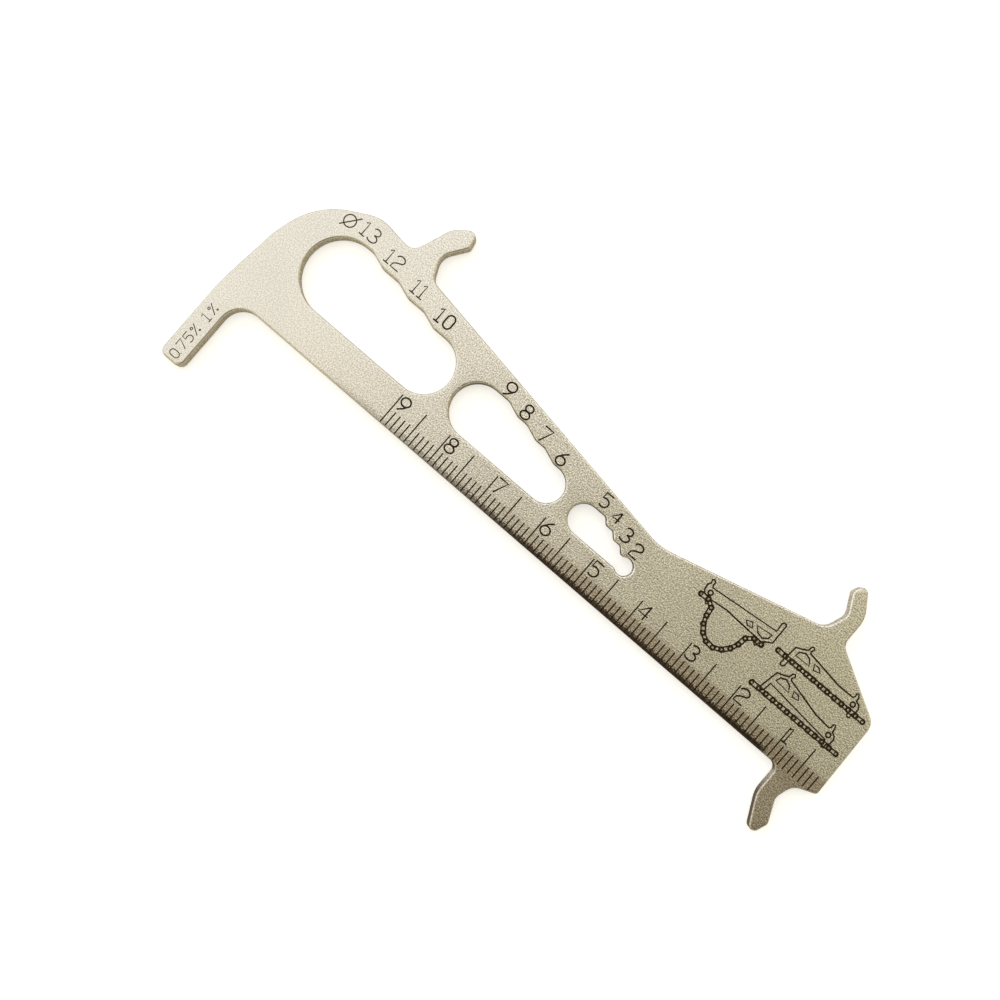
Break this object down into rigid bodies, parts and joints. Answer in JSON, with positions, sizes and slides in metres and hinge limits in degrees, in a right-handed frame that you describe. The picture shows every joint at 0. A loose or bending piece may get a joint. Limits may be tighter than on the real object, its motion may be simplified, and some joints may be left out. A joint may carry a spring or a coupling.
{
  "type": "chain wear gauge",
  "caption": "Flat steel chain wear gauge with a wear hook, a claw foot, horns that hold a chain's ends, a ruler edge and stepped slots for ball sizes.",
  "frame": {"origin": "middle of the plate's length and width, on its underside", "axes": "+X along the ruler edge from the wear hook to the wide end, +Y up the plate toward the horns, +Z out of the marked face"},
  "size_m": [0.1244, 0.0474, 0.002],
  "materials": {
    "blasted_steel": "satin, bead-blasted"
  },
  "bodies": {
    "root": {"gauge_plate": "blasted_steel"}
  },
  "joints": []
}
